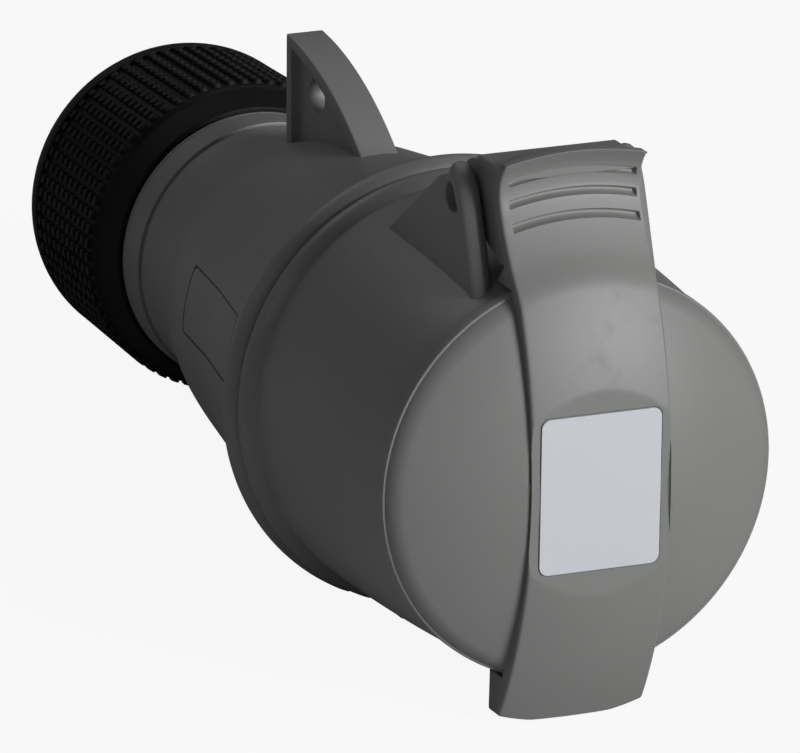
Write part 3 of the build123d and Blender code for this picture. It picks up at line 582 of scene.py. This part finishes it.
# Dome: the skin's profile turned about the axis, with a thicker rim, a gasket groove and the skin's inside.
def domeGrid(values):
    rimLean = values["rim"] - 0.02
    outer = np.concatenate([np.linspace(0, values["fineFrom"], 40),
                            np.linspace(values["fineFrom"] + 0.5, rimLean, 40)])
    inner = outer[outer < values["gasket"][0] - 1.5][::-1]
    groove = values["gasket"]
    rim = softCorners([(outer[-1], domeSkin(outer[-1], values)), (outer[-1] - 0.05, 0.0), (groove[1], 0.0),
                       (groove[1], -groove[2]), (groove[0], -groove[2]), (groove[0], 0.0), (inner[0], 0.0),
                       (inner[0], domeSkin(inner[0], values, values["wall"]))],
                      [0, 0.35, 0.25, 0.1, 0.1, 0.25, 0.3, 0])
    first = int(np.argmin(np.hypot(rim[:, 0] - outer[-1], rim[:, 1] - domeSkin(outer[-1], values))))
    profile = np.concatenate([np.stack([outer, domeSkin(outer, values)], 1), np.roll(rim, -first, 0)[1:],
                              np.stack([inner, domeSkin(inner, values, values["wall"])], 1)[1:]])
    skin = spun(profile, np.linspace(0, 2 * pi, values["columns"] + 1)[:-1])
    # The dome's apex stays behind the floor of the label's recess.
    behind = np.abs(skin[..., 0]) < values["widths"][1][1] - 0.4
    skin[..., 1] = np.where(behind, np.maximum(skin[..., 1], values["apex"]), skin[..., 1])
    return skin, False, True


# Strap, grip and tail: the side-view outline (w along the strap, y along the axis) carried across the
# width. A point at x and w lies at the height w near the middle and on the arc sqrt(w^2 - x^2) at both
# ends, and the outline is moved in along its normals as the width's last bit is turned.
def strapGrid(values):
    tail, lip = -values["tailReach"], values["gripKnots"][-1]
    w = np.unique(np.concatenate([np.linspace(tail, lip, 190)] + [
        np.linspace(ring - 1.4, ring + 1.4, 25) for ring in values["grooves"]] + [
        np.linspace(edge - 0.5, edge + 0.5, 9) for edge in values["label"][1:3]]))
    w = w[np.concatenate([[True], np.diff(w) > 0.02])]
    crown, face = strapFace(np.abs(w), values)
    front = np.stack([w, np.where(w > 0, face, crown)], 1)
    gripBack = np.linspace(values["gripKnots"][4], values["gripKnots"][1], 24)
    under = np.linspace(values["gripKnots"][0], -values["gripKnots"][0], 30)
    back = [(lip, values["lipBack"])]
    back += [(r, float(strapFace(np.array(r), values)[1]) + values["gripWall"]) for r in gripBack]
    back += [values["root"], (values["root"][0], 0.3)]
    back += [(r, float(domeSkin(np.array(abs(r)), values)) + 1.2) for r in under]
    back += [(-values["root"][0], 0.0), (-values["root"][0], values["tailBack"]), (tail, values["tailBack"])]
    corners = np.concatenate([front, back])
    radii = np.zeros(len(corners))
    radii[0], radii[len(front) - 1], radii[len(front)] = 0.5, 0.4, 0.6
    radii[-3:] = (0.3, 0.3, 0.5)
    outline = softCorners(corners, radii)
    plain = strapFace(np.abs(outline[:, 0]), values)
    isFront = outline[:, 1] < np.where(outline[:, 0] > 0, plain[1], plain[0]) + 1.0
    inward = inwardNormals(outline)
    half, label, span, edge = values["widths"][1][1], values["label"], values["grooveSpan"], values["edge"]
    share = np.unique(np.concatenate([np.linspace(-1, 1, 61)] + [
        np.linspace(side - 0.45, side + 0.45, 9) / (half - edge) for side in (-label[0], label[0], *span)]))
    share = np.unique(np.clip(share, -1, 1))
    turned = np.linspace(pi / 2, 0, 6)[:-1]
    part = np.concatenate([np.full(5, -1.0), share, np.full(5, 1.0)])
    angle = np.concatenate([turned, np.zeros(len(share)), turned[::-1]])
    shrink = edge * (1 - np.cos(angle))
    w2 = outline[None, :, 0] + shrink[:, None] * inward[None, :, 0]
    y2 = outline[None, :, 1] + shrink[:, None] * inward[None, :, 1]
    wide = np.interp(outline[:, 0], *np.array(values["widths"]).T)
    x = part[:, None] * (wide[None, :] - edge) + np.sign(part)[:, None] * edge * np.sin(angle)[:, None]
    size = np.abs(w2)
    z = np.sign(w2) * (size - easeStep(size, 16, 40) * (size - np.sqrt(np.maximum(size ** 2 - x ** 2, 0))))
    z = np.maximum(z, shrink[:, None] - values["tailFoot"])
    radius = np.hypot(x, z)
    shift = np.where(outline[None, :, 0] > 0, strapFace(radius, values)[1], strapFace(radius, values)[0])
    shift = shift - np.where(w2 > 0, strapFace(size, values)[1], strapFace(size, values)[0])
    y = y2 + np.where(isFront[None, :], shift, 0) * (1 - easeStep(w2, 38, 42))
    # The flat for the label with its recess, and the finger grooves.
    inLabel = 1 - easeStep(roundedBox(x, z, *label), -0.12, 0.12)
    flat = values["labelPlane"] + values["recess"] * inLabel
    y = np.where(isFront[None, :] & (np.abs(z) < 32), np.maximum(y, flat), y)
    window = easeStep(x, span[0] - 0.3, span[0] + 0.3) * (1 - easeStep(x, span[1] - 0.3, span[1] + 0.3))
    for ring in values["grooves"]:
        hollow = np.sqrt(np.maximum(1 - ((w2 - ring) / values["grooveHalf"]) ** 2, 0)) * values["grooveDepth"]
        y = y + np.where(isFront[None, :], hollow * window, 0)
    return np.stack([x, y, z], -1), False, True


# Rings of a pierced plate between two x: its outline with rounded edges, and round a hole whose steps
# are given as (radius, how far in from the outer face) on the side of the larger |x|.
def plateSteps(outline, centre, angles, low, high, edge, hole):
    inward = inwardNormals(outline)
    turned = np.linspace(0, pi / 2, 5)
    near, far = (low, high) if abs(low) < abs(high) else (high, low)
    sense = 1 if far > near else -1
    steps = []
    for face, direction, order in ((near, sense, turned[::-1]), (far, -sense, turned)):
        for angle in order:
            ring = seenFrom(outline + inward * edge * (1 - cos(angle)), centre, angles)
            steps.append((ring, face + direction * edge * (1 - sin(angle))))
    circle = np.stack([np.cos(angles), np.sin(angles)], 1)
    previous, bevel = 0.0, 0.15
    for radius, depth in hole:
        steps.append((centre + circle * (radius + bevel), far - sense * previous))
        steps.append((centre + circle * radius, far - sense * (previous + bevel)))
        steps.append((centre + circle * radius, far - sense * depth if depth else near + sense * bevel))
        previous = depth
    steps.append((centre + circle * (hole[-1][0] + bevel), near))
    return steps


hinge = {"y": 17.8, "z": 51.6, "knuckle": 6.8, "outer": 13.95, "thickness": 3.8, "deckTop": 59.7,
         "deckThickness": 2.4, "deckHalf": 14.1, "deckBack": 16.8, "deckFront": 5.8, "foot": (6.6, 41.4),
         "notch": (11.4, 43.6), "under": (14.4, 45.0), "inner": 1.4, "topBack": 15.8, "topFront": 7.8,
         "gripSide": (5.6, 50.0), "bore": 2.06, "edge": 0.35}


# Both knuckles, plates from the grip's back to a boss round the pin, and the deck between them.
def knuckleGrids(values):
    centre, top = np.array([values["y"], values["z"]]), values["deckTop"] - 0.4
    boss = arc(centre, values["knuckle"], -75, 88, 40)
    foot = [(values["inner"], values["foot"][1]), values["foot"], values["notch"], values["under"]]
    grip = [(values["topBack"], top), (values["topFront"], top), values["gripSide"]]
    outline = softCorners(np.concatenate([foot, boss, grip]), 0.8)
    angles = np.linspace(0, 2 * pi, 181)[:-1]
    grids = []
    for low in (-values["outer"], values["outer"] - values["thickness"]):
        steps = plateSteps(outline, centre, angles, low, low + values["thickness"], values["edge"],
                           [(values["bore"], 0)])
        grids.append(piercedPlate(steps))
    deckTop, deckUnder = top + 0.4, top + 0.4 - values["deckThickness"]
    deck = softCorners([(values["deckFront"], deckTop), (values["deckBack"], deckTop),
                        (values["deckBack"], deckUnder), (values["deckFront"], deckUnder)], [0, 0.7, 0.6, 0])
    return grids + [slabGrid(deck, -values["deckHalf"], values["deckHalf"], 0.4)]


# Dome, strap with grip and tail, knuckles and deck, as one moulding on the lid.
def makeLid():
    grids = [domeGrid(lid), strapGrid(lid)] + knuckleGrids(hinge)
    return makePiece("lid_moulding", grids, greyPlastic, "lid", ("hinged_lid",))


makeLid()
print("the lid is made")


# Front housing

front = {"mouth": 38.9, "swell": 40.7, "body": 41.6, "swellY": 47.0, "bodyRows": (50.0, 52.5), "start": 0.3,
         "parting": 61.05, "flange": 43.8, "beadWidth": 4.7, "seam": 1.2, "beadRoot": 1.5,
         "flat": 40.4, "flatFrom": 55.2, "shroud": 35.4,
         "shroudDepth": 38.5, "sleeve": 38.9, "keyHalf": 4.2, "keyEdge": 36.2, "keyReach": 37.6,
         "pad": 42.6, "padHalf": 17.0, "padFront": 41.0}


# Outer half of a flange's bead from its root to the seam: an arc through three points, softened at the root.
def beadProfile(values, rootY, seamY):
    root = (values["flange"] - values["beadRoot"], rootY)
    seam = (values["flange"] - values["seam"], seamY)
    return arcThrough(root, (values["flange"], (rootY + seamY) / 2), seam, 24)


# Columns of a turned surface: an even turn, with close pairs at the angles where something begins or ends.
def columnsAt(count, edges, gap=0.0012):
    even = np.linspace(0, 2 * pi, count + 1)[:-1]
    pairs = np.concatenate([[edge - gap, edge + gap] for edge in edges])
    pairs = np.mod(pairs, 2 * pi)
    apart = np.abs(np.mod(even[:, None] - pairs[None] + pi, 2 * pi) - pi).min(1)
    return np.sort(np.concatenate([even[apart > 0.004], pairs]))


# Shroud: its profile turned about the axis, then the flat, the pad and the keyway as moved points.
def shroudGrid(values):
    swell = arcThrough((values["mouth"], values["start"]), (values["swell"], values["swellY"] / 2),
                       (values["body"], values["swellY"]), 40)
    padY = values["padFront"]
    rows = [padY - 0.4, padY - 0.12, padY + 0.12, padY + 0.4]
    swell = np.concatenate([swell[swell[:, 1] < padY - 0.5],
                            [(float(np.interp(y, swell[:, 1], swell[:, 0])), y) for y in rows],
                            swell[swell[:, 1] > padY + 0.5]])
    flatStep = (values["flatFrom"] - 0.02, values["flatFrom"] + 0.02)
    straight = np.array([(values["body"], y) for y in (*values["bodyRows"], *flatStep)])
    bead = beadProfile(values, values["parting"] - values["beadWidth"], values["parting"])
    root = np.array([(values["body"], bead[0, 1] - 0.9), (values["body"] + 0.15, bead[0, 1] - 0.35)])
    outer = np.concatenate([swell, straight, root, bead])
    inside = softCorners([(values["sleeve"], values["parting"]), (values["sleeve"], values["shroudDepth"]),
                          (values["shroud"], values["shroudDepth"]), (values["shroud"], values["start"]),
                          (values["mouth"], values["start"])], [0.4, 0.1, 0.2, 0.5, 0.5])
    first = int(np.argmin(np.hypot(inside[:, 0] - values["sleeve"], inside[:, 1] - values["parting"])))
    inside = np.roll(inside, -first, 0)
    profile = np.concatenate([outer[1:], inside])
    keyAngle, padAngle = asin(values["keyHalf"] / values["shroud"]), asin(values["padHalf"] / values["pad"])
    angles = columnsAt(240, [-pi / 2 + side * size for side in (-1, 1) for size in (keyAngle, padAngle)])
    grid = spun(profile, angles)
    isOuter = (np.arange(len(profile)) < len(outer) - 1)[:, None]
    x, y, z = (grid[..., axis] for axis in range(3))
    low = z < 0
    radius = np.hypot(x, z)
    onPad = isOuter & low & (np.abs(x) < values["padHalf"]) & (y > padY) & (radius < values["pad"])
    lift = np.where(onPad, values["pad"] / radius, 1.0)
    x, z = x * lift, z * lift
    z = np.where(isOuter & low & (y > values["flatFrom"]), np.maximum(z, -values["flat"]), z)
    onWall = (y < values["shroudDepth"] - 0.05) & (radius < values["keyEdge"])
    inKey = ~isOuter & low & (np.abs(x) < values["keyHalf"]) & onWall
    z = np.where(inKey, -values["keyReach"], z)
    return np.stack([x, y, z], -1), True, True


ear = {"inner": 14.4, "thickness": 4.2, "foot": (50.6, 35.2), "root": 30.0, "rootFront": 10.3, "bead": 2.3,
       "start": (7.8, 33.5), "bend": (15.2, 53.4), "top": (18.0, 55.9), "crown": (24.5, 54.1),
       "beyond": (30.0, 20.0), "sink": (3.0, 1.6), "bore": 2.02, "edge": 0.9}


# Both hinge ears: a pierced plate each, sunk round the pin, with a round bead along its front edge.
def earGrids(values):
    centre = np.array([hinge["y"], hinge["z"]])
    outline = softCorners([values["start"], values["bend"], values["top"], values["crown"], values["foot"],
                           (values["foot"][0], values["root"]), (values["rootFront"], values["root"])],
                          [0, 2.5, 1.2, 1.5, 0.5, 0, 0], 8)
    path = softCorners([values["start"], values["bend"], values["top"], values["beyond"]],
                       [0, 4.5, 0, 0], 14)[:-1]
    path = refined(path, 1.2)
    path = path[:int(np.argmin(np.linalg.norm(path - values["top"], axis=1))) + 1]
    angles = np.linspace(0, 2 * pi, 241)[:-1]
    outer = values["inner"] + values["thickness"]
    grids = []
    for side in (-1, 1):
        low, high = sorted((side * values["inner"], side * outer))
        steps = plateSteps(outline, centre, angles, low, high, values["edge"],
                           [values["sink"], (values["bore"], 0)])
        grids.append(piercedPlate(steps))
        grids.append(tube(path, side * (values["inner"] + values["bead"]), values["bead"]))
    return grids


# Shroud with its half of the flange and the two ears, as one moulding.
def makeFront():
    grids = [shroudGrid(front)] + earGrids(ear)
    return makePiece("shroud_moulding", grids, greyPlastic, "housing", ("front_housing",))


makeFront()
print("the front housing is made")


# Rear housing

rear = {"flange": 44.8, "beadWidth": 5.7, "seam": 2.2, "beadRoot": 2.4, "parting": 61.15, "flat": 40.4,
        "flatTo": 67.9, "bellY": (66.9, 80.0, 92.0, 104.0, 112.0, 120.0, 131.0, 144.0, 149.4),
        "bell": (42.15, 39.4, 36.9, 35.1, 33.9, 32.4, 29.4, 27.2, 27.0), "bellSlopes": (-0.22, 0.0),
        "collar": 27.6, "collarFront": 149.6, "collarBack": 157.6, "collarLine": 0.9, "spigot": 24.7,
        "spigotBack": 178.0, "gland": 20.2, "throat": 17.0, "throatY": 160.0,
        "sleeve": 38.75, "sleeveFront": 42.1,
        "hollowY": (66.0, 80.0, 96.0, 112.0, 124.0, 136.0), "hollow": (34.2, 31.0, 29.2, 27.0, 25.6, 24.2)}
latch = {"angle": 169.0, "front": 73.0, "back": 110.0, "half": 6.6, "corner": 1.6, "gap": 0.3, "depth": 4.7,
         "thickness": 2.2, "edge": 0.35}


# Radius of the bell at a distance along the axis: the smooth curve through its knots.
def bellSkin(y, values):
    return smoothThrough(y, values["bellY"], values["bell"], *values["bellSlopes"])


# Angle at which a point lies a given distance sideways from the latch's middle line, at a radius.
def latchAngles(offset, radius):
    return radians(latch["angle"]) + np.arcsin(offset / radius)


# Bell: its profile turned about the axis. Near the latch the columns run at a set distance from its middle
# line instead of at a set angle, so that the pocket's sides are straight.
def bellGrid(values):
    y = np.concatenate([np.linspace(values["bellY"][0], latch["front"] - 0.6, 8),
                        latch["front"] + np.array([-0.32, -0.28]),
                        np.linspace(latch["front"], latch["back"], 60),
                        latch["back"] + np.array([0.28, 0.32]),
                        np.linspace(latch["back"] + 0.6, values["bellY"][-1], 48)])
    skin = np.stack([bellSkin(y, values), y], 1)
    beadEnd = values["parting"] + values["beadWidth"]
    bead = beadProfile(values, beadEnd, values["parting"])[::-1]
    flatStep = np.array([(42.1, values["flatTo"] - 0.02), (42.08, values["flatTo"] + 0.02)])
    skin = skin[(skin[:, 1] > values["flatTo"] + 0.3) | (skin[:, 1] < beadEnd)]
    line, collar = values["collarLine"], values["collar"]
    back = softCorners([(27.0, values["collarFront"]), (collar, values["collarFront"]),
                        (collar, values["collarBack"] - line - 0.3),
                        (collar - 0.4, values["collarBack"] - line - 0.15),
                        (collar, values["collarBack"] - line), (collar, values["collarBack"]),
                        (values["spigot"], values["collarBack"]), (values["spigot"], values["spigotBack"]),
                        (values["gland"], values["spigotBack"]), (values["gland"], values["throatY"]),
                        (values["throat"], values["throatY"]), (values["throat"], values["throatY"] - 4),
                        (values["hollow"][-1], values["collarFront"])],
                       [0.1, 0.25, 0.08, 0.08, 0.08, 0.35, 0.2, 0.5, 0.3, 0.2, 0.3, 0.3, 1.0], 4)
    inside = np.array(list(zip(values["hollow"], values["hollowY"])))[::-1]
    inside = np.concatenate([inside, [(34.2, values["sleeveFront"] + 0.3), (34.5, values["sleeveFront"]),
                                      (values["sleeve"] - 0.3, values["sleeveFront"]),
                                      (values["sleeve"], values["sleeveFront"] + 0.3),
                                      (values["sleeve"], values["parting"])]])
    outer = np.concatenate([bead, flatStep, skin])
    profile = np.concatenate([outer, back, inside])
    start = radians(latch["angle"])
    reach, middle = 0.42, 38.0
    window = latch["half"] + latch["gap"]
    sides = [side * asin((window + bit) / middle) for side in (-1, 1) for bit in (-0.02, 0.02)]
    near = np.unique(np.concatenate([np.linspace(-reach, reach, 44), sides]))
    far = np.linspace(reach, 2 * pi - reach, 200)[1:-1]
    offset = np.concatenate([near, far - 2 * pi * (far > pi)])
    blend = 1 - easeStep(np.abs(offset), 0.25, 0.9)
    sideways = middle * np.sin(np.clip(offset, -1.2, 1.2))
    skinFrom = 30
    straight = np.arcsin(np.clip(sideways[None, :] / np.maximum(profile[:, :1], skinFrom), -1, 1))
    isSkin = profile[:, :1] > skinFrom
    angles = start + offset[None, :] + (straight - offset[None, :]) * blend[None, :] * isSkin
    radius = np.repeat(profile[:, :1], len(offset), 1)
    x, z = radius * np.cos(angles), radius * np.sin(angles)
    y = np.repeat(profile[:, 1:], len(offset), 1)
    isOuter = (np.arange(len(profile)) < len(outer))[:, None]
    side = x * -sin(start) + z * cos(start)
    facing = x * cos(start) + z * sin(start) > 0
    inPocket = isOuter & facing & (roundedBox(side, y, window, latch["front"] - latch["gap"],
                                              latch["back"] + latch["gap"], latch["corner"]) < 0)
    shrink = np.where(inPocket, (radius - latch["depth"]) / radius, 1.0)
    x, z = x * shrink, z * shrink
    z = np.where(isOuter & (z < 0) & (y < values["flatTo"]), np.maximum(z, -values["flat"]), z)
    return np.stack([x, y, z], -1), True, True


lug = {"half": 4.0, "web": 2.2, "back": 131.6, "top": 51.1, "middle": (112.0, 46.5), "front": (93.2, 35.6),
       "border": 2.6, "hole": (120.0, 41.6), "holeRadius": 3.6, "foot": 25.6, "edge": 0.5}


# Side view of the lug: its curved top and straight back, moved in by a border.
def lugOutline(values, border):
    top = (values["back"] - border, values["top"] - border * 0.9)
    tip = (values["front"][0] + border * 1.1, values["front"][1] - border * 0.2)
    middle = (values["middle"][0] + border * 0.45, values["middle"][1] - border)
    curve = arcThrough(top, middle, tip, 60)
    return np.concatenate([curve, [(tip[0], values["foot"]), (top[0] - 0.6, values["foot"])]])


# Lug: rings from its outline over the raised border, down to the web and through the hole.
def lugGrid(values):
    centre, half, web, edge = np.array(values["hole"]), values["half"], values["web"], values["edge"]
    angles = np.linspace(0, 2 * pi, 321)[:-1]
    outline, window = lugOutline(values, 0.0), lugOutline(values, values["border"])
    outline, window = refined(outline, 0.4), refined(window, 0.4)
    rim, sill = inwardNormals(outline), inwardNormals(window)
    circle = np.stack([np.cos(angles), np.sin(angles)], 1) * values["holeRadius"]
    turned = np.linspace(0, pi / 2, 5)
    side = []
    for angle in turned:
        ring = seenFrom(outline + rim * edge * (1 - cos(angle)), centre, angles)
        side.append((ring, half - edge * (1 - sin(angle))))
    for inset, height in ((-0.35, half), (-0.1, half - 0.1), (0.0, half - 0.35),
                          (0.1, web + 0.4), (0.25, web + 0.1), (0.6, web)):
        side.append((seenFrom(window + sill * inset, centre, angles), height))
    for share, drop in ((1.08, 0), (1.02, 0.1), (1, 0.35)):
        side.append((centre + circle * share, web - drop))
    return piercedPlate([(ring, x) for ring, x in side] + [(ring, -x) for ring, x in side[::-1]])


# Bell with the other half of the flange, the gland's spigot and the lug, as one moulding.
def makeRear():
    grids = [bellGrid(rear), lugGrid(lug)]
    return makePiece("handle_moulding", grids, greyPlastic, "housing", ("rear_housing",))


makeRear()


# Latch: a plate that follows the bell's skin inside a rounded rectangle. The shares s and t of its length
# and width keep it on the skin, and its edge is turned down over the last bit.
def makeLatch(values):
    long, half, edge = (values["back"] - values["front"]) / 2, values["half"], values["edge"]
    middle = (values["front"] + values["back"]) / 2
    corners = [(-half, -long), (half, -long), (half, long), (-half, long)]
    outline = refined(softCorners(corners, values["corner"], 8), 0.6)
    shrunk = outline + inwardNormals(outline) * edge
    rings = []
    for share in np.linspace(0, 1, 18):
        rings.append((shrunk * share, 0.0))
    for angle in np.linspace(pi / 2, 0, 5)[1:]:
        rings.append((shrunk + (outline - shrunk) * cos(angle), edge * (1 - sin(angle))))
    rings.append((outline, values["thickness"]))
    rings += [(shrunk * share, values["thickness"]) for share in (0.95, 0.5, 0.0)]
    points = []
    for ring, depth in rings:
        y = middle + ring[:, 1]
        radius = bellSkin(y, rear) - depth
        angles = latchAngles(ring[:, 0], bellSkin(y, rear))
        points.append(np.stack([radius * np.cos(angles), y, radius * np.sin(angles)], 1))
    return makePiece("latch_panel", [(np.stack(points), False, True)], greyPlastic, "latch",
                     ("locking_latch",))


makeLatch(latch)
print("the rear housing and its latch are made")
